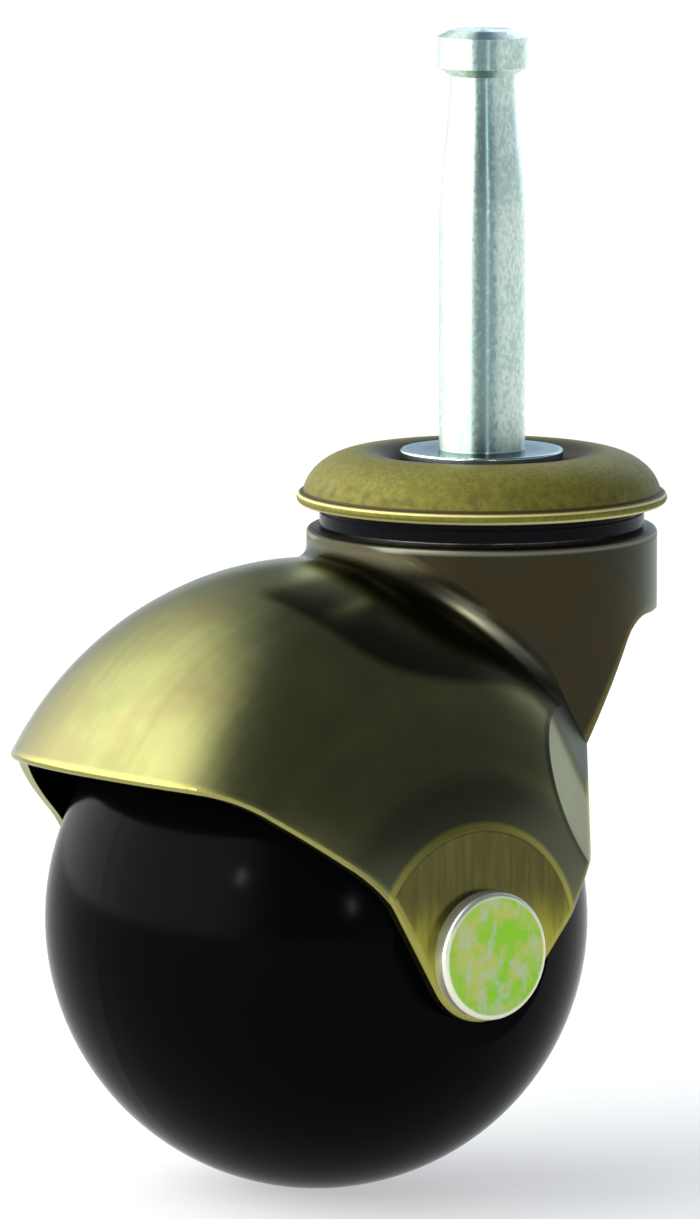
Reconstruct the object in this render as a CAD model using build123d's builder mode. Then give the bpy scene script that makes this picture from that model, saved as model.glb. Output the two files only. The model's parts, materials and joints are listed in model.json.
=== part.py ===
from build123d import *
from math import acos, atan2, cos, hypot, radians, sin
import os

# Hooded ball castor with a grip-neck stem. All sizes are in millimetres.
# The origin is the middle of the stem's shoulder seat, where the top face of the shoulder
# washer meets the stem. +Z runs up the stem, and +X points from the stem towards the ball.

# Stem above the seat
stem_radius = 3.97
stem_length = 38.6
bulb_radius = 4.13
bulb_height = 2.8
bulb_top_radius = 2.85
bulb_top_bevel = 0.6
bulb_under_bevel = 0.8
grip_neck_radius = 2.98
shank_length = 20.2
taper_middle_radius = 3.5

# Riveted pile under the seat, from the top down
rivet_shank_radius = 3.0
pile_gap = 0.05
washer_radius = 7.5
washer_thickness = 0.9
washer_rounding = 0.2
collar_radius = 5.0
collar_height = 1.1
cap_sheet = 0.8
race_thickness = 1.0
groove_depth = 0.35
ball_radius = 1.5
ball_count = 12
ball_pitch_radius = 10.5
ball_clearance = 0.03
floor_sheet = 1.25
swivel_clearance = 0.08
thrust_thickness = 1.0
thrust_radius = 8.0
rivet_washer_thickness = 1.0
rivet_washer_radius = 6.4
peen_radius = 5.0
peen_height = 1.6

# Dust cap section
cap_floor_radius = 8.2
cap_crest_radius = 11.0
cap_crest_drop = 0.15
cap_skirt_radius = 16.5
cap_rim_drop = 4.4
cap_bead_radius = 0.55

# Bearing races and the black ring that spaces the bearing balls
upper_race_radius = 13.2
lower_race_inner_radius = 8.2
lower_race_radius = 13.4
ring_radius = 14.95
ring_wall = 1.1
ring_step = 0.25
ring_web_thickness = 1.4
ring_web_inner_radius = 8.4
ring_floor_gap = 0.3
ring_top_overlap = 0.8
ring_lip_height = 1.1
pocket_clearance = 0.15

# Ball wheel and its axle
trail = 19.04
wheel_radius = 24.8
axle_radius = 3.0
axle_clearance = 0.06
bush_wall = 1.2
side_gap = 0.1
hub_washer_thickness = 0.7
hub_washer_radius = 5.0
axle_head_radius = 5.8
axle_head_thickness = 1.55
axle_head_rounding = 0.45
axle_set_radius = 4.6
axle_set_height = 1.3

# Pressed hood: a dome that is round about the axle's direction, with a neck on it
hood_sheet = 1.3
hood_gap = 6.5
dome_shift_x = 0.9
dome_shift_z = 0.5
pad_half_width = 25.35
pad_depth = 1.5
neck_radius = 16.14
neck_wall = 1.3
neck_stand = 1.44
neck_top_rounding = 0.5
neck_foot_rounding = 2.6
pad_rounding = 1.0
margin_x = -11.0
margin_y = 21.5
margin_z = 15.4
margin_facing = (-0.514, 0.793, 0.328)
ear_radius = 6.2
edge_rounding = 0.45

# Side outline of the hood, from the middle of the ball
brim_front_x = 45.0
brim_front_z = 19.0
brim_front_rounding = 1.0
brim_bend_x = 21.5
brim_bend_z = 14.8
brim_bend_rounding = 9.0
ear_front_x = 11.1
ear_front_z = 6.7
ear_front_rounding = 14.0
ear_rear_x = -13.6
ear_rear_z = 7.0
ear_rear_rounding = 12.0
neck_rear_x = -18.8
neck_rear_z = 16.4
neck_rear_rounding = 8.0
skirt_bend_x = -25.2
skirt_drop = 14.5
skirt_bend_rounding = 4.0
outline_reach = 60.0
match_tolerance = 0.01

# Heights and places that follow from the sizes above
washer_bottom = -washer_thickness
collar_bottom = washer_bottom - collar_height
cap_floor_bottom = collar_bottom - cap_sheet
upper_race_bottom = cap_floor_bottom - race_thickness
ball_top = upper_race_bottom + groove_depth - ball_clearance
ball_z = ball_top - ball_radius
lower_race_top = ball_z - ball_radius - ball_clearance + groove_depth
floor_top = lower_race_top - race_thickness
floor_bottom = floor_top - floor_sheet
thrust_top = floor_bottom - pile_gap
thrust_bottom = thrust_top - thrust_thickness
peen_top = thrust_bottom - rivet_washer_thickness
bore_radius = rivet_shank_radius + pile_gap
groove_radius = ball_radius + ball_clearance
cap_rim_z = -cap_rim_drop
dome_radius = wheel_radius + hood_gap + hood_sheet
dome_half_width = pad_half_width + pad_depth
ball_drop = dome_radius + dome_shift_z + neck_stand - floor_top
skirt_bend_z = ball_drop - skirt_drop
wheel_centre = Vector(trail, 0, -ball_drop)
dome_centre = wheel_centre + Vector(dome_shift_x, 0, dome_shift_z)
pad_inner = pad_half_width - hood_sheet
hub_half_width = pad_inner - hub_washer_thickness - 2 * side_gap
neck_inner_radius = neck_radius - neck_wall
side_plane = Plane(origin=wheel_centre, x_dir=(1, 0, 0), z_dir=(0, -1, 0))
axle_line = Axis(wheel_centre, (0, 1, 0))


def write_piece(piece, label):
    piece.part.label = label
    export_step(piece.part, f"parts/{label}.step")


def turned_ring(inner, outer, bottom, top):
    """A plain ring about the stem's axis."""
    with BuildPart() as ring:
        with BuildSketch(Plane.XY.offset(bottom)):
            Circle(outer)
            Circle(inner, mode=Mode.SUBTRACT)
        extrude(amount=top - bottom)
    return ring


def axle_ring(inner, outer, start, end):
    """A plain ring about the axle, between two places along +Y."""
    with BuildPart() as ring:
        with BuildSketch(Plane(origin=wheel_centre, x_dir=(1, 0, 0), z_dir=(0, 1, 0)).offset(start)):
            Circle(outer)
            Circle(inner, mode=Mode.SUBTRACT)
        extrude(amount=end - start)
    return ring


def dome(grow):
    """The dome's solid, grown outwards by an amount: an ellipse turned about the axle's direction."""
    radius = dome_radius + grow
    half_width = dome_half_width + grow
    with BuildPart() as body:
        with BuildSketch(Plane(origin=dome_centre, x_dir=(1, 0, 0), z_dir=(0, 0, 1))):
            with BuildLine():
                EllipticalCenterArc((0, 0), radius, half_width, start_angle=-90, arc_size=180)
                Line((0, half_width), (0, -half_width))
            make_face()
        revolve(axis=Axis(dome_centre, (0, 1, 0)))
    return body


def tangent_angle(x, z, turn):
    """Where a line from a point touches the ear's round end, as an angle about the axle."""
    return atan2(z, x) + turn * acos(ear_radius / hypot(x, z))


os.makedirs("parts", exist_ok=True)

# Stem: grip bulb, tapered neck, straight shank, then the thin rivet shank and its peened end
bulb_bottom = stem_length - bulb_top_bevel - bulb_height
grip_neck_top = bulb_bottom - bulb_under_bevel
with BuildPart() as stem:
    with BuildSketch(Plane.XZ):
        with BuildLine():
            Polyline(
                (0, stem_length),
                (bulb_top_radius, stem_length),
                (bulb_radius, stem_length - bulb_top_bevel),
                (bulb_radius, bulb_bottom),
                (grip_neck_radius, grip_neck_top),
            )
            Spline(
                (grip_neck_radius, grip_neck_top),
                (taper_middle_radius, (grip_neck_top + shank_length) / 2),
                (stem_radius, shank_length),
                tangents=((0, -1), (0, -1)),
            )
            Polyline(
                (stem_radius, shank_length),
                (stem_radius, 0),
                (rivet_shank_radius, 0),
                (rivet_shank_radius, peen_top),
                (peen_radius, peen_top),
            )
            EllipticalCenterArc((0, peen_top), peen_radius, peen_height, start_angle=-90, arc_size=90)
            Line((0, peen_top - peen_height), (0, stem_length))
        make_face()
    revolve(axis=Axis.Z)
write_piece(stem, "stem")

# Shoulder washer under the stem's seat, with a softened edge
shoulder_washer = turned_ring(bore_radius, washer_radius, washer_bottom, 0)
with shoulder_washer:
    fillet(shoulder_washer.edges().filter_by(GeomType.CIRCLE).group_by(SortBy.RADIUS)[-1], washer_rounding)
write_piece(shoulder_washer, "shoulder_washer")

# Collar that holds the washer up off the dust cap's floor
spacer_collar = turned_ring(bore_radius, collar_radius, collar_bottom, washer_bottom)
write_piece(spacer_collar, "spacer_collar")

# Dust cap: one pressed sheet with a sunk floor, a round crest and a rolled rim
with BuildPart() as dust_cap:
    with BuildSketch(Plane.XZ):
        with BuildLine():
            Line((bore_radius, collar_bottom), (cap_floor_radius, collar_bottom))
            EllipticalCenterArc(
                (cap_crest_radius, collar_bottom),
                cap_crest_radius - cap_floor_radius,
                -cap_crest_drop - collar_bottom,
                start_angle=90,
                arc_size=90,
            )
            EllipticalCenterArc(
                (cap_crest_radius, cap_rim_z),
                cap_skirt_radius - cap_crest_radius,
                cap_rim_drop - cap_crest_drop,
                start_angle=0,
                arc_size=90,
            )
            Line((cap_skirt_radius, cap_rim_z), (cap_skirt_radius - cap_sheet, cap_rim_z))
            EllipticalCenterArc(
                (cap_crest_radius, cap_rim_z),
                cap_skirt_radius - cap_sheet - cap_crest_radius,
                cap_rim_drop - cap_crest_drop - cap_sheet,
                start_angle=0,
                arc_size=90,
            )
            EllipticalCenterArc(
                (cap_crest_radius, cap_floor_bottom),
                cap_crest_radius - cap_floor_radius - cap_sheet,
                -cap_crest_drop - cap_sheet - cap_floor_bottom,
                start_angle=90,
                arc_size=90,
            )
            Polyline(
                (cap_floor_radius + cap_sheet, cap_floor_bottom),
                (bore_radius, cap_floor_bottom),
                (bore_radius, collar_bottom),
            )
        make_face()
        with Locations((cap_skirt_radius, cap_rim_z)):
            Circle(cap_bead_radius)
    revolve(axis=Axis.Z)
write_piece(dust_cap, "dust_cap")

# Upper race: a hard ring under the cap, with a groove for the bearing balls
with BuildPart() as ball_track:
    with BuildSketch(Plane.XZ):
        with Locations((ball_pitch_radius, ball_z)):
            Circle(groove_radius)
    revolve(axis=Axis.Z)

upper_race = turned_ring(bore_radius, upper_race_radius, upper_race_bottom, cap_floor_bottom)
with upper_race:
    add(ball_track.part, mode=Mode.SUBTRACT)
write_piece(upper_race, "upper_race")

# Lower race: the matching ring, seated on the hood's floor
lower_race = turned_ring(lower_race_inner_radius, lower_race_radius, floor_top, lower_race_top)
with lower_race:
    add(ball_track.part, mode=Mode.SUBTRACT)
write_piece(lower_race, "lower_race")

# Black ring: a web with one pocket for each ball, and an outer band that closes the gap
ring_bottom = floor_top + ring_floor_gap
ring_top = cap_rim_z + ring_top_overlap
with BuildPart() as ball_ring:
    with BuildSketch(Plane.XY.offset(ring_bottom)):
        Circle(ring_radius)
        Circle(ring_radius - ring_wall, mode=Mode.SUBTRACT)
    extrude(amount=ring_lip_height)
    with BuildSketch(Plane.XY.offset(ring_bottom)):
        Circle(ring_radius - ring_step)
        Circle(ring_radius - ring_wall, mode=Mode.SUBTRACT)
    extrude(amount=ring_top - ring_bottom)
    with BuildSketch(Plane.XY.offset(ball_z)):
        Circle(ring_radius - ring_wall)
        Circle(ring_web_inner_radius, mode=Mode.SUBTRACT)
    extrude(amount=ring_web_thickness / 2, both=True)
    with BuildSketch(Plane.XY.offset(ball_z)):
        with PolarLocations(ball_pitch_radius, ball_count):
            Circle(ball_radius + pocket_clearance)
    extrude(amount=ring_web_thickness, both=True, mode=Mode.SUBTRACT)
write_piece(ball_ring, "ball_ring")

# Bearing balls, evenly round the ring
for number, place in enumerate(PolarLocations(ball_pitch_radius, ball_count), start=1):
    with BuildPart() as bearing_ball:
        with Locations(place.position + Vector(0, 0, ball_z)):
            Sphere(ball_radius)
    write_piece(bearing_ball, f"bearing_ball_{number:02d}")

# Thrust washer and rivet washer under the hood's floor
thrust_washer = turned_ring(bore_radius, thrust_radius, thrust_bottom, thrust_top)
write_piece(thrust_washer, "thrust_washer")
rivet_washer = turned_ring(bore_radius, rivet_washer_radius, peen_top, thrust_bottom)
write_piece(rivet_washer, "rivet_washer")

# Solids that shape the hood: its outer and inner domes, and the side outline as a thick slab
dome_skin = dome(0)
dome_hollow = dome(-hood_sheet)

front_touch = tangent_angle(ear_front_x, ear_front_z, -1)
rear_touch = tangent_angle(ear_rear_x, ear_rear_z, 1)
ear_corner_reach = ear_radius / cos((front_touch - rear_touch + radians(360)) / 2)
ear_corner_angle = (front_touch + rear_touch - radians(360)) / 2
ear_corner = (ear_corner_reach * cos(ear_corner_angle), ear_corner_reach * sin(ear_corner_angle))
with BuildPart() as outline_slab:
    with BuildSketch(side_plane):
        with BuildLine():
            FilletPolyline(
                (outline_reach, brim_front_z + outline_reach - brim_front_x),
                (brim_front_x, brim_front_z),
                (brim_bend_x, brim_bend_z),
                (ear_front_x, ear_front_z),
                ear_corner,
                (ear_rear_x, ear_rear_z),
                (neck_rear_x, neck_rear_z),
                (skirt_bend_x, skirt_bend_z),
                (-outline_reach, skirt_bend_z),
                radius=[
                    brim_front_rounding,
                    brim_bend_rounding,
                    ear_front_rounding,
                    ear_radius,
                    ear_rear_rounding,
                    neck_rear_rounding,
                    skirt_bend_rounding,
                ],
            )
            Polyline(
                (-outline_reach, skirt_bend_z),
                (-outline_reach, outline_reach),
                (outline_reach, outline_reach),
                (outline_reach, brim_front_z + outline_reach - brim_front_x),
            )
        make_face()
    extrude(amount=outline_reach, both=True)


def side_margins(depth):
    """The two half-spaces that turn the hood's rear margins inwards, moved in by a depth."""
    facing = Vector(margin_facing).normalized()
    start = wheel_centre + Vector(margin_x, margin_y, margin_z) - facing * depth
    with BuildPart() as margins:
        with BuildSketch(Plane(origin=start, z_dir=facing)):
            Rectangle(outline_reach, outline_reach)
        extrude(amount=outline_reach)
        mirror(about=Plane.XZ)
    return margins


def flat_slab(half_width):
    """Everything within a distance of the hood's middle plane."""
    with BuildPart() as slab:
        with BuildSketch(side_plane):
            Rectangle(4 * outline_reach, 4 * outline_reach)
        extrude(amount=half_width, both=True)
    return slab


def meets_dome(edge):
    """True for an edge of the neck's round wall that lies ahead of the stem's axis."""
    middle = edge.position_at(0.5)
    on_wall = abs(hypot(middle.X, middle.Y) - neck_radius) < match_tolerance
    return on_wall and edge.bounding_box().max.X > 0


# Hood: dome and neck as one pressed sheet, hollow inside, trimmed to its outline
margins_outside = side_margins(0)
margins_inside = side_margins(hood_sheet)
pad_slab = flat_slab(pad_half_width)
pad_hollow_slab = flat_slab(pad_inner)

with BuildPart() as hood_hollow:
    add(dome_hollow.part)
    add(margins_inside.part, mode=Mode.SUBTRACT)
    add(pad_hollow_slab.part, mode=Mode.INTERSECT)
    with BuildSketch(Plane.XY.offset(floor_bottom)):
        Circle(neck_inner_radius)
    extrude(amount=-ball_drop)

with BuildPart() as hood:
    add(dome_skin.part)
    add(margins_outside.part, mode=Mode.SUBTRACT)
    add(pad_slab.part, mode=Mode.INTERSECT)
    with BuildSketch(Plane.XY.offset(floor_top + neck_foot_rounding)):
        Circle(neck_radius)
    extrude(amount=-ball_drop)

    # The bends of the pressed sheet, rounded before the sheet is hollowed. The neck starts out
    # taller, so that its foot can be rounded along the whole dome, and is then cut off level.
    fillet(hood.edges().filter_by(GeomType.BSPLINE).filter_by(meets_dome), neck_foot_rounding)
    split(bisect_by=Plane.XY.offset(floor_top), keep=Keep.BOTTOM)
    fillet(hood.faces().sort_by(Axis.Z)[-1].edges(), neck_top_rounding)
    fillet(hood.faces().filter_by(Axis.Y).edges(), pad_rounding)

    add(hood_hollow.part, mode=Mode.SUBTRACT)
    add(outline_slab.part, mode=Mode.INTERSECT)
    fillet(hood.edges().sort_by(Axis.X)[-1], edge_rounding)
    with BuildSketch(Plane.XY.offset(floor_top)):
        Circle(rivet_shank_radius + swivel_clearance)
    extrude(amount=-floor_sheet, mode=Mode.SUBTRACT)
    with BuildSketch(side_plane):
        Circle(axle_radius + axle_clearance)
    extrude(amount=outline_reach, both=True, mode=Mode.SUBTRACT)
write_piece(hood, "hood")

# Axle: a rivet with a flat head on the near ear (+Y) and a set end on the far ear
head_face = pad_half_width + axle_head_thickness
with BuildPart() as axle_rivet:
    with BuildSketch(Plane(origin=wheel_centre, x_dir=(1, 0, 0), z_dir=(0, 0, 1))):
        with BuildLine():
            Polyline(
                (0, head_face),
                (axle_head_radius - axle_head_rounding, head_face),
            )
            EllipticalCenterArc(
                (axle_head_radius - axle_head_rounding, head_face - axle_head_rounding),
                axle_head_rounding,
                axle_head_rounding,
                start_angle=0,
                arc_size=90,
            )
            Polyline(
                (axle_head_radius, head_face - axle_head_rounding),
                (axle_head_radius, pad_half_width),
                (axle_radius, pad_half_width),
                (axle_radius, -pad_half_width),
                (axle_set_radius, -pad_half_width),
            )
            EllipticalCenterArc(
                (0, -pad_half_width), axle_set_radius, axle_set_height, start_angle=-90, arc_size=90
            )
            Line((0, -pad_half_width - axle_set_height), (0, head_face))
        make_face()
    revolve(axis=axle_line)
write_piece(axle_rivet, "axle_rivet")

# Washers between the ball's hub faces and the two ears
washer_bore = axle_radius + axle_clearance
washer_start = hub_half_width + side_gap
hub_washer_near = axle_ring(washer_bore, hub_washer_radius, washer_start, washer_start + hub_washer_thickness)
write_piece(hub_washer_near, "hub_washer_near")
hub_washer_far = axle_ring(washer_bore, hub_washer_radius, -washer_start - hub_washer_thickness, -washer_start)
write_piece(hub_washer_far, "hub_washer_far")

# Ball wheel: a solid moulded ball with two flat hub faces, on a steel bush
bush_radius = axle_radius + axle_clearance + bush_wall
with BuildPart() as wheel_ball:
    with Locations(wheel_centre):
        Sphere(wheel_radius)
    with BuildSketch(side_plane):
        Rectangle(4 * outline_reach, 4 * outline_reach)
    extrude(amount=hub_half_width, both=True, mode=Mode.INTERSECT)
    with BuildSketch(side_plane):
        Circle(bush_radius)
    extrude(amount=outline_reach, both=True, mode=Mode.SUBTRACT)
write_piece(wheel_ball, "wheel_ball")
wheel_bush = axle_ring(axle_radius + axle_clearance, bush_radius, -hub_half_width, hub_half_width)
write_piece(wheel_bush, "wheel_bush")
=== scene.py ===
import bpy
import json
import math
import numpy as np
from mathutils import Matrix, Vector


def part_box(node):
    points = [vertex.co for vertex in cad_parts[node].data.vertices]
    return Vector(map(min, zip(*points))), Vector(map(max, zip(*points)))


# Hooded ball castor, dressed for a studio picture. Lengths are in metres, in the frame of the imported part.
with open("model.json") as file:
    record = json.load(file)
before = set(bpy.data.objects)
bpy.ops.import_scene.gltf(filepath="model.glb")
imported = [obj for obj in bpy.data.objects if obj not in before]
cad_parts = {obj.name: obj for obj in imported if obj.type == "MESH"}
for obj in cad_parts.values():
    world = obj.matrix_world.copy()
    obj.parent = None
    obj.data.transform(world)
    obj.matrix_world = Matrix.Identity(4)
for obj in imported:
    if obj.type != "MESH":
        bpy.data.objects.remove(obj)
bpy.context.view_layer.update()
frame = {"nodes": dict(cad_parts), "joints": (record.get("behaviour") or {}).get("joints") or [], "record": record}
print("frame loaded:", len(frame["nodes"]), "nodes")

# Sizes that the materials need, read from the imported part
wheelJoint = next(joint for joint in frame["joints"] if joint["name"] == "wheel_spin")
axleX, axleZ = wheelJoint["pos_m"][::2]
stemRadius = frame["record"]["mounts"][0]["dims"]["r_mm"] / 1000
hoodLow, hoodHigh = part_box("hood")
capLow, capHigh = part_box("dust_cap")
rivetLow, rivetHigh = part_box("axle_rivet")
neckRadius = -hoodLow.x
padFace = -hoodLow.y
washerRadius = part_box("shoulder_washer")[1].x
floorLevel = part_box("wheel_ball")[0].z


# Small helpers for node trees

def newMaterial(name):
    # an empty tree with a Principled shader and its output
    material = bpy.data.materials.new(name)
    material.use_nodes = True
    tree = material.node_tree
    tree.nodes.clear()
    output = tree.nodes.new("ShaderNodeOutputMaterial")
    shader = tree.nodes.new("ShaderNodeBsdfPrincipled")
    tree.links.new(shader.outputs["BSDF"], output.inputs["Surface"])
    return material, tree, shader


def put(tree, socket, value):
    # a socket takes either a link from another node or a plain value
    if isinstance(value, bpy.types.NodeSocket):
        tree.links.new(value, socket)
    else:
        socket.default_value = value


def calc(tree, operation, *values, clamp=False):
    # the values fill the Math node's inputs in order
    node = tree.nodes.new("ShaderNodeMath")
    node.operation = operation
    node.use_clamp = clamp
    for socket, value in zip(node.inputs, values):
        put(tree, socket, value)
    return node.outputs[0]


def times(tree, first, second):
    return calc(tree, "MULTIPLY", first, second)


def minus(tree, first, second):
    return calc(tree, "SUBTRACT", first, second)


def mingle(tree, first, second, share):
    # share x first + the rest x second
    return calc(tree, "ADD", times(tree, first, share), times(tree, second, 1 - share))


def ramp(tree, value, fromLow, fromHigh, toLow=0.0, toHigh=1.0):
    # a smooth step from one value to another
    node = tree.nodes.new("ShaderNodeMapRange")
    node.interpolation_type = "SMOOTHSTEP"
    settings = {"Value": value, "From Min": fromLow, "From Max": fromHigh, "To Min": toLow, "To Max": toHigh}
    for name, setting in settings.items():
        put(tree, node.inputs[name], setting)
    return node.outputs["Result"]


def falling(tree, value, low, high, start=1.0):
    return ramp(tree, value, low, high, start, 0.0)


def between(tree, value, startLow, startHigh, endLow, endHigh):
    # 0, then 1 between the two steps, then 0 again
    return times(tree, ramp(tree, value, startLow, startHigh), falling(tree, value, endLow, endHigh))


def mixColour(tree, amount, first, second):
    node = tree.nodes.new("ShaderNodeMix")
    node.data_type = "RGBA"
    put(tree, node.inputs["Factor"], amount)
    put(tree, node.inputs["A"], first)
    put(tree, node.inputs["B"], second)
    return node.outputs["Result"]


def objectPoint(tree, centre=(0, 0, 0), stretch=(1, 1, 1)):
    # the object's own coordinates, moved to a centre and stretched
    coordinates = tree.nodes.new("ShaderNodeTexCoord")
    mapping = tree.nodes.new("ShaderNodeMapping")
    mapping.inputs["Location"].default_value = [-c * s for c, s in zip(centre, stretch)]
    mapping.inputs["Scale"].default_value = stretch
    tree.links.new(coordinates.outputs["Object"], mapping.inputs["Vector"])
    return mapping.outputs["Vector"]


def coordinate(tree, axis):
    # one of the object's own coordinates: "X", "Y" or "Z"
    split = tree.nodes.new("ShaderNodeSeparateXYZ")
    tree.links.new(objectPoint(tree), split.inputs[0])
    return split.outputs[axis]


def length(tree, point):
    node = tree.nodes.new("ShaderNodeVectorMath")
    node.operation = "LENGTH"
    tree.links.new(point, node.inputs[0])
    return node.outputs["Value"]


def distanceFromStem(tree):
    # level distance from the stem's axis
    return length(tree, objectPoint(tree, stretch=(1, 1, 0)))


def distanceFromMiddle(tree):
    # distance to either side of the castor's middle plane
    return length(tree, objectPoint(tree, stretch=(0, 1, 0)))


def distanceFromAxle(tree):
    return length(tree, objectPoint(tree, (axleX, 0, axleZ), (1, 0, 1)))


def noise(tree, point, grain, detail=3.0, rough=0.55):
    # clouds whose patches are about one grain across
    node = tree.nodes.new("ShaderNodeTexNoise")
    put(tree, node.inputs["Vector"], point)
    node.inputs["Scale"].default_value = 1.0 / grain
    node.inputs["Detail"].default_value = detail
    node.inputs["Roughness"].default_value = rough
    return node.outputs["Fac"]


def bump(tree, height, distance, strength):
    node = tree.nodes.new("ShaderNodeBump")
    node.inputs["Strength"].default_value = strength
    node.inputs["Distance"].default_value = distance
    put(tree, node.inputs["Height"], height)
    return node.outputs["Normal"]


def edges(tree, reach, samples=8):
    # 1 on outer edges and 0 on flats: how much of the inside is missing within a short reach
    node = tree.nodes.new("ShaderNodeAmbientOcclusion")
    node.inside = True
    node.only_local = True
    node.samples = samples
    node.inputs["Distance"].default_value = reach
    return minus(tree, 1.0, node.outputs["AO"])


# The hood: antique brass under a clear lacquer, dark on the neck and pale on its worn edges, with painted shade
# round the neck's foot, painted dark reflections on the flanks beside the neck that leave the crown paler, and
# painted highlights along the ridge and under the neck's top.
# A texture is given as its grain, detail and roughness. A zone is where its steps begin and end.

brass = {
    "neck": (0.034, 0.0245, 0.0085, 1),
    "neckGreen": (0.023, 0.0255, 0.0150, 1),
    "paintedReflection": (0.014, 0.014, 0.009, 1),
    "band": (0.040, 0.036, 0.018, 1),
    "ridge": (0.300, 0.290, 0.180, 1),
    "middle": (0.156, 0.161, 0.048, 1),
    "bright": (0.200, 0.202, 0.066, 1),
    "pad": (0.088, 0.084, 0.020, 1),
    "ear": (0.380, 0.360, 0.042, 1),
    "step": (0.082, 0.082, 0.030, 1),
    "facet": (0.095, 0.100, 0.070, 1),
    "brown": (0.170, 0.138, 0.050, 1),
    "padEdge": (0.300, 0.265, 0.050, 1),
    "edge": (0.360, 0.340, 0.085, 1),
    "limb": (0.70, 0.70, 0.55, 1),
    "neckLimb": (0.80, 0.84, 0.78, 1),
    "neckHighlight": (0.160, 0.165, 0.120, 1),
    "clouds": (0.007, 4.0),
    "grain": (0.0005, 2.0),
    "strokes": (0.0012, 3.0),
    "strokeStretch": (0.06, 1, 0.06),
    "browning": (0.011, 3.0),
    "browningCentre": (0.02, 0.01, 0),
    "browningSpread": (0.46, 0.60),
    "browningDepth": 0.6,
    "brush": (0.0007, 2.0),
    "brushStretch": (1, 1, 0.12),
    "brushSpread": (0.35, 0.65),
    "brushDepth": 0.35,
    "neckClouds": (0.0075, 4.0, 0.6),
    "neckSpread": (0.36, 0.64),
    "cloudShare": 0.6,
    "toneSpread": (0.38, 0.62),
    "neckZone": (0.00005, 0.0003),  # these four are out from the neck's wall
    "footShadeZone": (0.0018, 0.0034),
    "ridgeHighlightZone": (0.00005, 0.00025, 0.0006, 0.0011),
    "neckGloss": (0.0014, 0.0034),
    "ridgeHighlightHeights": (-0.0200, -0.0150, -0.0128, -0.0098),
    "darkReflectionTurn": (30, 68),  # degrees round from the front
    "darkReflectionReach": (0.0134, 0.0036),
    "darkReflectionFade": (-0.0006, 0.0009),
    "darkReflectionMiddle": (0.0035, 0.0070),
    "darkReflectionDepth": 0.9,
    "padZone": (0.0001, 0.0003),  # these three are in from the pad's face
    "padLine": (0.00002, 0.00006, 0.00014, 0.00030),
    "stepZone": (0.0001, 0.0002, 0.0012, 0.0024),
    "earRub": (0.0062, -0.0015),  # heights from the axle
    "topZone": (0.0010, 0.0005),  # down from the neck's top
    "topHighlight": (0.0002, 0.0003, 0.0005, 0.0008),
    "marginFacing": (-0.514, 0.793, 0.328),
    "marginPoint": (-0.0110, 0.0215, 0.0154),  # from the axle's middle
    "facetZone": (-0.00001, 0.00001),
    "facetDepth": 0.8,
    "bendShadeZone": (0.00001, 0.00004, 0.00010, 0.00022),
    "bendShadeDepth": 0.85,
    "edgeReach": 0.0012,
    "edgeSpread": (0.10, 0.34),
    "edgeInBand": 0.25,
    "roughness": 0.19,
    "neckRoughness": 0.28,
    "ridgeRoughness": 0.38,
    "topRoughness": 0.50,
    "grainRoughness": 0.06,
    "coat": 0.50,
    "neckCoat": 0.15,
    "coatRoughness": 0.25,
    "bump": (0.00002, 0.06),
}
marginX, marginY, marginZ = brass["marginPoint"]
marginPoint = Vector((axleX + marginX, marginY, axleZ + marginZ))
marginFacing = Vector(brass["marginFacing"]).normalized()


def marginDepth(tree):
    # how far a point lies inside the plane that turns the hood's rear margin in, on either side
    halves = tree.nodes.new("ShaderNodeVectorMath")
    halves.operation = "ABSOLUTE"
    tree.links.new(objectPoint(tree, stretch=(0, 1, 0)), halves.inputs[0])
    flat = tree.nodes.new("ShaderNodeVectorMath")
    flat.operation = "ADD"
    tree.links.new(objectPoint(tree, stretch=(1, 0, 1)), flat.inputs[0])
    tree.links.new(halves.outputs[0], flat.inputs[1])
    reach = tree.nodes.new("ShaderNodeVectorMath")
    reach.operation = "DOT_PRODUCT"
    tree.links.new(flat.outputs[0], reach.inputs[0])
    reach.inputs[1].default_value = marginFacing
    return minus(tree, marginFacing.dot(marginPoint), reach.outputs["Value"])


def darkReflectionOf(tree, fromStem, fromMiddle):
    # painted dark reflection on the dome beside the neck, kept off the crown: its reach shrinks from the front
    # round to the flank
    around = calc(tree, "ARCTAN2", fromMiddle, coordinate(tree, "X"))
    front, flank = [math.radians(turn) for turn in brass["darkReflectionTurn"]]
    reach = ramp(tree, around, front, flank, *brass["darkReflectionReach"])
    darkReflection = falling(tree, minus(tree, fromStem, reach), *brass["darkReflectionFade"])
    return times(tree, darkReflection, ramp(tree, fromMiddle, *brass["darkReflectionMiddle"]))


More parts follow.
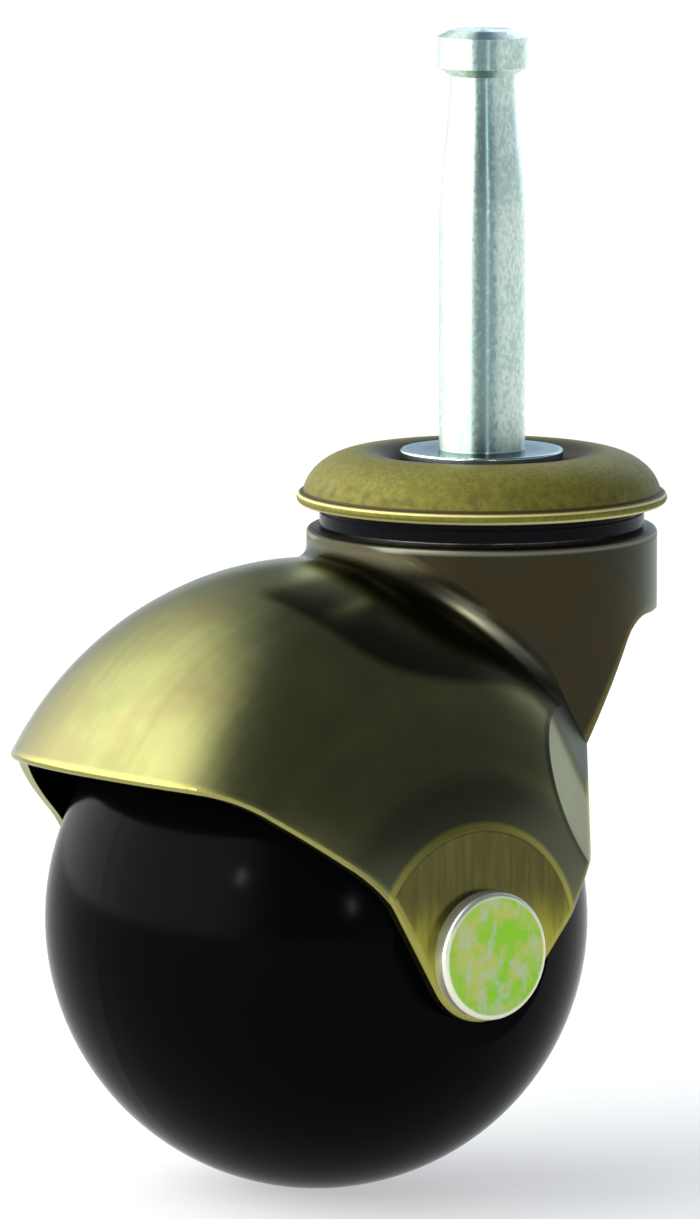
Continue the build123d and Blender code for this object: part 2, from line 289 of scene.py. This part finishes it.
def hoodBrass():
    material, tree, shader = newMaterial("antiqueBrassHood")
    point = objectPoint(tree)
    height = coordinate(tree, "Z")
    fromMiddle = distanceFromMiddle(tree)
    fromStem = minus(tree, distanceFromStem(tree), neckRadius)
    fromPad = minus(tree, padFace, fromMiddle)
    depth = marginDepth(tree)
    grain = noise(tree, point, *brass["grain"])

    onNeck = falling(tree, fromStem, *brass["neckZone"])
    inFootShade = falling(tree, fromStem, *brass["footShadeZone"])
    ridgeHighlight = between(tree, fromStem, *brass["ridgeHighlightZone"])
    ridgeHighlight = times(tree, ridgeHighlight, between(tree, height, *brass["ridgeHighlightHeights"]))
    inDarkReflection = darkReflectionOf(tree, fromStem, fromMiddle)
    topLow, topHigh = [hoodHigh.z - drop for drop in brass["topZone"]]
    onTop = ramp(tree, height, topLow, topHigh)
    onPad = falling(tree, fromPad, *brass["padZone"])

    # fine polishing strokes run round the crown, from the brim up over the top
    clouds = noise(tree, point, *brass["clouds"])
    strokes = objectPoint(tree, (axleX, 0, axleZ), brass["strokeStretch"])
    tone = mingle(tree, clouds, noise(tree, strokes, *brass["strokes"]), brass["cloudShare"])
    base = mixColour(tree, ramp(tree, tone, *brass["toneSpread"]), brass["middle"], brass["bright"])
    browning = noise(tree, objectPoint(tree, brass["browningCentre"]), *brass["browning"])
    browning = ramp(tree, browning, *brass["browningSpread"], 0.0, brass["browningDepth"])
    base = mixColour(tree, browning, base, brass["brown"])

    # the pad is drawn in fine upright strokes, and rubbed to gold down towards the ear's tip
    brush = noise(tree, objectPoint(tree, stretch=brass["brushStretch"]), *brass["brush"])
    brush = ramp(tree, brush, *brass["brushSpread"], 0.0, brass["brushDepth"])
    down = ramp(tree, minus(tree, height, axleZ), *brass["earRub"])
    padTone = mixColour(tree, down, brass["pad"], brass["ear"])
    base = mixColour(tree, onPad, base, mixColour(tree, brush, padTone, brass["neck"]))

    # the pressed step round the pad holds its patina, above a rubbed line
    base = mixColour(tree, between(tree, fromPad, *brass["stepZone"]), base, brass["step"])
    base = mixColour(tree, between(tree, fromPad, *brass["padLine"]), base, brass["padEdge"])

    # the turned-in margin is a greyer facet, with painted shade along the bend at its edge
    facet = falling(tree, depth, *brass["facetZone"], brass["facetDepth"])
    base = mixColour(tree, facet, base, brass["facet"])
    bendShade = times(tree, between(tree, depth, *brass["bendShadeZone"]), brass["bendShadeDepth"])
    base = mixColour(tree, bendShade, base, brass["neck"])

    # painted dark reflection beside the neck, painted shade round the neck's foot, the neck's own dark brass over
    # the neck, and a painted highlight as a pale line under its top
    base = mixColour(tree, times(tree, inDarkReflection, brass["darkReflectionDepth"]), base, brass["paintedReflection"])
    base = mixColour(tree, inFootShade, base, brass["band"])
    neckClouds = ramp(tree, noise(tree, point, *brass["neckClouds"]), *brass["neckSpread"])
    base = mixColour(tree, onNeck, base, mixColour(tree, neckClouds, brass["neck"], brass["neckGreen"]))
    topHighlight = between(tree, minus(tree, hoodHigh.z, height), *brass["topHighlight"])
    base = mixColour(tree, times(tree, topHighlight, onNeck), base, brass["neckHighlight"])

    # the edges are worn bright, and the ridge beside the neck is lightened as a painted highlight
    worn = ramp(tree, edges(tree, brass["edgeReach"]), *brass["edgeSpread"])
    worn = calc(tree, "SUBTRACT", worn, onTop, clamp=True)
    worn = times(tree, worn, ramp(tree, inFootShade, 0.0, 1.0, 1.0, brass["edgeInBand"]))
    base = mixColour(tree, worn, base, brass["edge"])
    base = mixColour(tree, ridgeHighlight, base, brass["ridge"])
    put(tree, shader.inputs["Base Color"], base)
    shader.inputs["Metallic"].default_value = 1.0

    rough = ramp(tree, fromStem, *brass["neckGloss"], brass["neckRoughness"], brass["roughness"])
    ridgeExtra = brass["ridgeRoughness"] - brass["neckRoughness"]
    rough = calc(tree, "MULTIPLY_ADD", ridgeHighlight, ridgeExtra, rough)
    rough = calc(tree, "MULTIPLY_ADD", grain, brass["grainRoughness"], rough)
    put(tree, shader.inputs["Roughness"], ramp(tree, onTop, 0.0, 1.0, rough, brass["topRoughness"]))
    put(tree, shader.inputs["Specular Tint"], mixColour(tree, inFootShade, brass["limb"], brass["neckLimb"]))
    plain = calc(tree, "MAXIMUM", calc(tree, "MAXIMUM", inFootShade, onPad), inDarkReflection)
    put(tree, shader.inputs["Coat Weight"], ramp(tree, plain, 0.0, 1.0, brass["coat"], brass["neckCoat"]))
    shader.inputs["Coat Roughness"].default_value = brass["coatRoughness"]
    put(tree, shader.inputs["Normal"], bump(tree, grain, *brass["bump"]))
    return material


# The dust cap: speckled brass with a dark dish, and painted highlights and painted shade on its rolled rim

cap = {
    "dark": (0.120, 0.108, 0.010, 1),
    "light": (0.176, 0.170, 0.030, 1),
    "edge": (0.620, 0.560, 0.230, 1),
    "groove": (0.055, 0.040, 0.012, 1),
    "dish": (0.010, 0.011, 0.005, 1),
    "speckle": (0.00045, 3.0, 0.65),
    "clouds": (0.005, 3.0),
    "speckleShare": 0.7,
    "mottle": (0.36, 0.66),
    "dishZone": (0.0090, 0.0121),  # out from the stem's axis
    "dishDepth": 0.97,
    "flecks": (0.0009, 3.0, 0.6),
    "fleckSpread": (0.48, 0.64),
    "fleckDepth": 0.55,
    "fleckZone": (0.0010, 0.0014, 0.0018, 0.0040),  # these four are up from the rim's foot
    "grooveZone": (0.00098, 0.00106, 0.00120, 0.00136),
    "upperHighlight": (0.00074, 0.00082, 0.00090, 0.00100),
    "lowerHighlight": (0.00018, 0.00034),
    "rimZone": (-0.0013, -0.0008),  # out from the rim's edge
    "metal": 0.45,
    "specular": 0.3,
    "roughness": 0.60,
    "bump": (0.00003, 0.15),
}


def capBrass():
    material, tree, shader = newMaterial("antiqueBrassCap")
    point = objectPoint(tree)
    fromStem = distanceFromStem(tree)
    fromRim = minus(tree, coordinate(tree, "Z"), capLow.z)
    speckle = noise(tree, point, *cap["speckle"])
    mottle = mingle(tree, speckle, noise(tree, point, *cap["clouds"]), cap["speckleShare"])
    base = mixColour(tree, ramp(tree, mottle, *cap["mottle"]), cap["dark"], cap["light"])
    # the dish round the washer is darkened nearly to black
    base = mixColour(tree, falling(tree, fromStem, *cap["dishZone"], cap["dishDepth"]), base, cap["dish"])
    # brown flecks gather just above the rim
    flecks = ramp(tree, noise(tree, point, *cap["flecks"]), *cap["fleckSpread"], 0.0, cap["fleckDepth"])
    flecks = times(tree, flecks, between(tree, fromRim, *cap["fleckZone"]))
    base = mixColour(tree, flecks, base, cap["groove"])
    # the rolled rim: two bright lines of painted highlight, and painted shade in the groove between them and the
    # skirt
    onRim = ramp(tree, minus(tree, fromStem, capHigh.x), *cap["rimZone"])
    groove = between(tree, fromRim, *cap["grooveZone"])
    upperHighlight = between(tree, fromRim, *cap["upperHighlight"])
    rimHighlights = calc(tree, "ADD", upperHighlight, falling(tree, fromRim, *cap["lowerHighlight"]), clamp=True)
    base = mixColour(tree, times(tree, groove, onRim), base, cap["groove"])
    base = mixColour(tree, times(tree, rimHighlights, onRim), base, cap["edge"])
    put(tree, shader.inputs["Base Color"], base)
    shader.inputs["Metallic"].default_value = cap["metal"]
    shader.inputs["Specular IOR Level"].default_value = cap["specular"]
    shader.inputs["Roughness"].default_value = cap["roughness"]
    put(tree, shader.inputs["Normal"], bump(tree, speckle, *cap["bump"]))
    return material


# Bluish zinc plate on turned steel, with a fine mottle drawn out along the stem and painted dark reflections
# streaked down it

zinc = {
    "light": (0.700, 0.810, 0.690, 1),
    "dull": (0.470, 0.620, 0.550, 1),
    "reflectionStreak": (0.170, 0.290, 0.295, 1),
    "streaks": 3,
    "streakTurn": 56.0,  # degrees
    "streakSpread": (0.25, 0.75),
    "streakDepth": 0.85,
    "streakThin": 0.25,
    "ragged": 1.3,
    "washerShadedLight": (0.290, 0.370, 0.370, 1),
    "washerShadedDull": (0.190, 0.260, 0.265, 1),
    "washerFootShade": (0.050, 0.078, 0.086, 1),
    "washerTint": (0.340, 0.430, 0.430, 1),
    "washerRimHighlight": (0.620, 0.700, 0.690, 1),
    "footZone": (0.0008, 0.0024),  # out from the stem's wall
    "footDepth": 0.95,
    "rimZone": (0.0002, 0.0006),  # in from the washer's edge
    "edge": (0.850, 0.900, 0.890, 1),
    "edgeReach": 0.0004,
    "edgeSpread": (0.2, 0.5),
    "spots": (0.00035, 3.0, 0.6),
    "clouds": (0.0025, 2.0),
    "spotStretch": (1, 1, 0.6),
    "spotShare": 0.7,
    "mottle": (0.42, 0.60),
    "roughness": 0.30,
    "washerRoughness": 0.20,
    "drawn": 0.85,
    "drawnTurn": 0.25,
    "bump": (0.00002, 0.10),
}


def reflectionStreaksOf(tree, spots):
    # painted dark reflections: streaks down the stem, evenly spaced round it with one facing the camera's side:
    # the cosine of count x turn, made ragged by the spots
    turn = calc(tree, "ARCTAN2", coordinate(tree, "Y"), coordinate(tree, "X"))
    start = -zinc["streaks"] * math.radians(zinc["streakTurn"])
    crest = calc(tree, "COSINE", calc(tree, "MULTIPLY_ADD", turn, zinc["streaks"], start))
    lowered = minus(tree, crest, zinc["streakThin"] + zinc["ragged"] / 2)
    ragged = calc(tree, "MULTIPLY_ADD", spots, zinc["ragged"], lowered)
    return ramp(tree, ragged, *zinc["streakSpread"], 0.0, zinc["streakDepth"])


def zincPlate(name, light, dull, roughness, drawn=0.0):
    # drawn is how far the turning marks spread a reflection along the stem
    material, tree, shader = newMaterial(name)
    point = objectPoint(tree, stretch=zinc["spotStretch"])
    spots = noise(tree, point, *zinc["spots"])
    mottle = mingle(tree, spots, noise(tree, point, *zinc["clouds"]), zinc["spotShare"])
    base = mixColour(tree, ramp(tree, mottle, *zinc["mottle"]), dull, light)
    if drawn:
        # painted dark reflections streaked down the stem
        base = mixColour(tree, reflectionStreaksOf(tree, spots), base, zinc["reflectionStreak"])
        around = tree.nodes.new("ShaderNodeTangent")
        around.direction_type = "RADIAL"
        around.axis = "Z"
        tree.links.new(around.outputs["Tangent"], shader.inputs["Tangent"])
        shader.inputs["Anisotropic"].default_value = drawn
        shader.inputs["Anisotropic Rotation"].default_value = zinc["drawnTurn"]
    worn = ramp(tree, edges(tree, zinc["edgeReach"]), *zinc["edgeSpread"])
    put(tree, shader.inputs["Base Color"], mixColour(tree, worn, base, zinc["edge"]))
    shader.inputs["Metallic"].default_value = 1.0
    shader.inputs["Roughness"].default_value = roughness
    put(tree, shader.inputs["Normal"], bump(tree, spots, *zinc["bump"]))
    return material


def stemZinc():
    return zincPlate("zincStem", zinc["light"], zinc["dull"], zinc["roughness"], zinc["drawn"])


def washerZinc(name="zincWasher"):
    # the washers' plate is painted darker than the stem's zinc, as painted shade
    return zincPlate(name, zinc["washerShadedLight"], zinc["washerShadedDull"], zinc["washerRoughness"])


def shoulderZinc():
    # the seat washer: painted shade where it meets the stem's foot and a painted highlight along its rolled edge
    material = washerZinc("zincSeat")
    tree = material.node_tree
    shader = next(node for node in tree.nodes if node.type == "BSDF_PRINCIPLED")
    plate = shader.inputs["Base Color"].links[0].from_socket
    fromAxis = distanceFromStem(tree)
    footShade = falling(tree, minus(tree, fromAxis, stemRadius), *zinc["footZone"], zinc["footDepth"])
    base = mixColour(tree, footShade, plate, zinc["washerFootShade"])
    rim = falling(tree, minus(tree, washerRadius, fromAxis), *zinc["rimZone"])
    put(tree, shader.inputs["Base Color"], mixColour(tree, rim, base, zinc["washerRimHighlight"]))
    shader.inputs["Specular Tint"].default_value = zinc["washerTint"]
    return material


# The axle rivet: lime and straw chromate, worn through in flecks, and pale round its head's rim

chromate = {
    "lime": (0.240, 0.520, 0.030, 1),
    "straw": (0.430, 0.480, 0.120, 1),
    "bare": (0.400, 0.490, 0.300, 1),
    "rim": (0.780, 0.790, 0.660, 1),
    "clouds": (0.0026, 4.0, 0.6),
    "cloudSpread": (0.40, 0.60),
    "flecks": (0.0011, 3.0, 0.6),
    "fleckCentre": (0.004, 0, 0.003),
    "fleckStretch": (1, 1, 0.6),
    "fleckSpread": (0.50, 0.66),
    "fleckDepth": 0.75,
    "fine": (0.0005, 2.0),
    "rimZone": (0.0003, 0.0006),  # in from the head's edge
    "metal": 0.85,
    "roughness": 0.32,
    "bump": (0.00003, 0.2),
}
headRadius = (rivetHigh.x - rivetLow.x) / 2


def yellowZinc():
    material, tree, shader = newMaterial("yellowChromate")
    point = objectPoint(tree)
    clouds = ramp(tree, noise(tree, point, *chromate["clouds"]), *chromate["cloudSpread"])
    base = mixColour(tree, clouds, chromate["lime"], chromate["straw"])
    flecks = noise(tree, objectPoint(tree, chromate["fleckCentre"], chromate["fleckStretch"]), *chromate["flecks"])
    flecks = ramp(tree, flecks, *chromate["fleckSpread"], 0.0, chromate["fleckDepth"])
    base = mixColour(tree, flecks, base, chromate["bare"])
    rim = falling(tree, minus(tree, headRadius, distanceFromAxle(tree)), *chromate["rimZone"])
    put(tree, shader.inputs["Base Color"], mixColour(tree, rim, base, chromate["rim"]))
    shader.inputs["Metallic"].default_value = chromate["metal"]
    shader.inputs["Roughness"].default_value = chromate["roughness"]
    fine = noise(tree, point, *chromate["fine"])
    put(tree, shader.inputs["Normal"], bump(tree, fine, *chromate["bump"]))
    return material


# The ball and the ring: gloss black mouldings

ball = {
    "colour": (0.0012, 0.0014, 0.0014, 1),
    "specular": 0.020,
    "roughness": 0.15,
    "smear": (0.009, 3.0),
    "smearRoughness": 0.08,
    "wave": (0.006, 1.0),
    "bump": (0.00003, 0.2),
}


def blackBall():
    material, tree, shader = newMaterial("blackBallGloss")
    point = objectPoint(tree)
    shader.inputs["Base Color"].default_value = ball["colour"]
    shader.inputs["Specular IOR Level"].default_value = ball["specular"]
    smear = noise(tree, point, *ball["smear"])
    smoothest = ball["roughness"] - ball["smearRoughness"] / 2
    put(tree, shader.inputs["Roughness"], calc(tree, "MULTIPLY_ADD", smear, ball["smearRoughness"], smoothest))
    put(tree, shader.inputs["Normal"], bump(tree, noise(tree, point, *ball["wave"]), *ball["bump"]))
    return material


ring = {
    "colour": (0.0025, 0.003, 0.004, 1),
    "specular": 0.05,
    "fine": (0.0012, 2.0),
    "spread": (0.3, 0.7),
    "roughness": (0.16, 0.26),
    "bump": (0.00002, 0.15),
}


def blackRing():
    material, tree, shader = newMaterial("blackRingGloss")
    shader.inputs["Base Color"].default_value = ring["colour"]
    shader.inputs["Specular IOR Level"].default_value = ring["specular"]
    fine = noise(tree, objectPoint(tree), *ring["fine"])
    put(tree, shader.inputs["Roughness"], ramp(tree, fine, *ring["spread"], *ring["roughness"]))
    put(tree, shader.inputs["Normal"], bump(tree, fine, *ring["bump"]))
    return material


# Inside: the race and its balls under a film of grease, and the nylon thrust washer

bearing = {
    "clean": (0.56, 0.56, 0.55, 1),
    "greasy": (0.34, 0.31, 0.26, 1),
    "film": (0.0015, 3.0),
    "filmSpread": (0.4, 0.7),
    "roughSpread": (0.3, 0.7),
    "roughness": (0.18, 0.38),
}


def bearingSteel():
    material, tree, shader = newMaterial("bearingSteel")
    film = noise(tree, objectPoint(tree), *bearing["film"])
    base = mixColour(tree, ramp(tree, film, *bearing["filmSpread"]), bearing["clean"], bearing["greasy"])
    put(tree, shader.inputs["Base Color"], base)
    shader.inputs["Metallic"].default_value = 1.0
    put(tree, shader.inputs["Roughness"], ramp(tree, film, *bearing["roughSpread"], *bearing["roughness"]))
    return material


nylon = {
    "clean": (0.72, 0.70, 0.64, 1),
    "grimy": (0.36, 0.33, 0.27, 1),
    "grime": (0.0020, 3.0),
    "grimeSpread": (0.45, 0.75),
    "roughness": 0.45,
}


def nylonWasher():
    material, tree, shader = newMaterial("nylonWasher")
    grime = noise(tree, objectPoint(tree), *nylon["grime"])
    base = mixColour(tree, ramp(tree, grime, *nylon["grimeSpread"]), nylon["clean"], nylon["grimy"])
    put(tree, shader.inputs["Base Color"], base)
    shader.inputs["Roughness"].default_value = nylon["roughness"]
    return material


finishes = {
    "stem": stemZinc(),
    "hood": hoodBrass(),
    "dust_cap": capBrass(),
    "axle_rivet": yellowZinc(),
    "wheel_ball": blackBall(),
    "ball_ring": blackRing(),
    "thrust_washer": nylonWasher(),
    "shoulder_washer": shoulderZinc(),
}
finishes.update(dict.fromkeys(("spacer_collar", "hub_washer_near", "hub_washer_far"), washerZinc()))
steel = bearingSteel()
for name, node in frame["nodes"].items():
    node.material_slots[0].material = finishes.get(name, steel)
print("materials:", len(bpy.data.materials))


# Floor: a wide plain sheet at the ball's lowest point

studio = {
    "floorSize": 9.0,
    "floorPoints": 9,
    "floorColour": (0.42, 0.43, 0.43, 1),
    "floorRoughness": 0.9,
    "floorSpecular": 0.1,
    "floorGlow": 0.49,
    "glowColour": (1, 1, 1, 1),
}


def gridMesh(name, points):
    # a rows x columns grid of points becomes a quad mesh
    rows, columns = points.shape[:2]
    index = np.arange(rows * columns).reshape(rows, columns)
    corners = [index[:-1, :-1], index[1:, :-1], index[1:, 1:], index[:-1, 1:]]
    quads = np.stack(corners, -1).reshape(-1, 4)
    mesh = bpy.data.meshes.new(name)
    mesh.from_pydata(points.reshape(-1, 3).tolist(), [], quads.tolist())
    piece = bpy.data.objects.new(name, mesh)
    bpy.context.scene.collection.objects.link(piece)
    return piece


across = np.linspace(-0.5, 0.5, studio["floorPoints"]) * studio["floorSize"]
gridX, gridY = np.meshgrid(across, across, indexing="ij")
floor = gridMesh("floor", np.stack([gridX, gridY, np.full_like(gridX, floorLevel)], -1))
floorMaterial, _, floorShader = newMaterial("palePaper")
floorShader.inputs["Base Color"].default_value = studio["floorColour"]
floorShader.inputs["Roughness"].default_value = studio["floorRoughness"]
floorShader.inputs["Specular IOR Level"].default_value = studio["floorSpecular"]
floorShader.inputs["Emission Color"].default_value = studio["glowColour"]
floorShader.inputs["Emission Strength"].default_value = studio["floorGlow"]
floor.data.materials.append(floorMaterial)
print("floor laid at", round(floorLevel, 4))


# Camera at the photograph's angle, with a long lens

view = {
    "target": (0.0142, -0.0013, -0.0139),
    "toward": (0.596, 0.791, 0.139),
    "distance": 1.0,
    "lens": 323.05,
    "film": 36.0,
}
target = Vector(view["target"])
toward = Vector(view["toward"]).normalized()
cameraData = bpy.data.cameras.new("camera")
cameraData.sensor_fit = "VERTICAL"
cameraData.sensor_height = view["film"]
cameraData.lens = view["lens"]
camera = bpy.data.objects.new("camera", cameraData)
camera.location = target + toward * view["distance"]
camera.rotation_euler = (-toward).to_track_quat("-Z", "Y").to_euler()
bpy.context.scene.collection.objects.link(camera)
bpy.context.scene.camera = camera


# Lamps. A turn of 0 is the camera's side, and a negative turn is to the picture's left. Angles are in degrees.

sparks = {  # turn, rise, distance, width, height and glow
    "sparkRight": (15, 12, 0.90, 0.025, 0.08, 60.0),
    "sparkLeft": (-34, 22, 0.90, 0.035, 0.08, 60.0),
}
ridgeLamp = {
    "turn": 52,
    "rise": 46,
    "distance": 0.80,
    "radius": 0.003,
    "glow": 30000.0,
    "cone": 0.7,
    "blend": 0.5,
    "right": 0.0115,  # from the camera's target to the ridge
    "up": -0.0008,
    "forward": 0.016,
}
facing = Vector((toward.x, toward.y, 0)).normalized()
rightward = Vector((-facing.y, facing.x, 0))


def hang(data, aim, turn, rise, distance):
    # puts a lamp at a turn and rise from the place that it points at
    turn, rise = math.radians(turn), math.radians(rise)
    level = facing * math.cos(turn) + rightward * math.sin(turn)
    out = level * math.cos(rise) + Vector((0, 0, math.sin(rise)))
    lamp = bpy.data.objects.new(data.name, data)
    lamp.location = aim + out * distance
    lamp.rotation_euler = out.to_track_quat("Z", "Y").to_euler()
    bpy.context.scene.collection.objects.link(lamp)


for name, (turn, rise, distance, width, height, glow) in sparks.items():
    # glow is the lit face's brightness: power = glow x pi x area
    data = bpy.data.lights.new(name, "AREA")
    data.shape = "RECTANGLE"
    data.size, data.size_y = width, height
    data.energy = glow * math.pi * width * height
    hang(data, target, turn, rise, distance)

# a narrow spot on the ridge: power = glow x 4 x (pi x radius) squared
data = bpy.data.lights.new("sparkRidge", "SPOT")
data.energy = ridgeLamp["glow"] * 4 * (math.pi * ridgeLamp["radius"]) ** 2
data.shadow_soft_size = ridgeLamp["radius"]
data.spot_size = math.radians(ridgeLamp["cone"])
data.spot_blend = ridgeLamp["blend"]
ridgePoint = target + rightward * ridgeLamp["right"] + Vector((0, 0, ridgeLamp["up"]))
ridgePoint += facing * ridgeLamp["forward"]
hang(data, ridgePoint, ridgeLamp["turn"], ridgeLamp["rise"], ridgeLamp["distance"])


# World: a great soft window at the left, a pale backdrop behind, a band at the right and a rear light.
# Elsewhere it is dark.

room = {
    "shade": (0.88, 0.98, 1.20, 1),
    "daylight": (1.00, 1.00, 0.97, 1),
    "daylightFrom": (0.0, 1.5),  # window strengths
    "dark": 0.14,
    "window": 4.2,
    "windowTurn": (-185, -102, -50, -12),
    "windowRise": (-40, -4, 46, 94),
    "backdrop": 0.60,
    "backdropTurn": (125, 150),  # to either side
    "backdropRise": (12, 24),
    "band": 0.62,
    "bandTurn": (5, 35),
    "bandRise": (6, 20),
    "rear": 1.5,
    "rearTurn": (118, 146),
    "rearRise": (34, 62),
}
world = bpy.data.worlds.new("studioRoom")
world.use_nodes = True
bpy.context.scene.world = world
roomTree = world.node_tree
roomTree.nodes.clear()
sky = roomTree.nodes.new("ShaderNodeBackground")
skyOutput = roomTree.nodes.new("ShaderNodeOutputWorld")
roomTree.links.new(sky.outputs[0], skyOutput.inputs["Surface"])
direction = roomTree.nodes.new("ShaderNodeTexCoord").outputs["Generated"]


def along(axis):
    node = roomTree.nodes.new("ShaderNodeVectorMath")
    node.operation = "DOT_PRODUCT"
    roomTree.links.new(direction, node.inputs[0])
    node.inputs[1].default_value = axis
    return node.outputs["Value"]


def degrees(socket):
    return times(roomTree, socket, 180 / math.pi)


def brighter(first, second):
    return calc(roomTree, "MAXIMUM", first, second)


turnAngle = degrees(calc(roomTree, "ARCTAN2", along(rightward), along(facing)))
riseAngle = degrees(calc(roomTree, "ARCSINE", along((0, 0, 1))))


def glowOf(name, turn):
    # a light that begins at its turn and ends above its rise
    patch = ramp(roomTree, turn, *room[name + "Turn"])
    patch = times(roomTree, patch, falling(roomTree, riseAngle, *room[name + "Rise"]))
    return times(roomTree, patch, room[name])


inTurn = between(roomTree, turnAngle, *room["windowTurn"])
inRise = between(roomTree, riseAngle, *room["windowRise"])
window = times(roomTree, times(roomTree, inTurn, inRise), room["window"])
backdrop = glowOf("backdrop", calc(roomTree, "ABSOLUTE", turnAngle))
roomGlow = brighter(brighter(brighter(window, backdrop), glowOf("band", turnAngle)), glowOf("rear", turnAngle))
put(roomTree, sky.inputs["Strength"], calc(roomTree, "ADD", roomGlow, room["dark"]))
daylight = ramp(roomTree, window, *room["daylightFrom"])
put(roomTree, sky.inputs["Color"], mixColour(roomTree, daylight, room["shade"], room["daylight"]))

scene = bpy.context.scene
scene.view_settings.view_transform = "Standard"
print("camera and lights set")
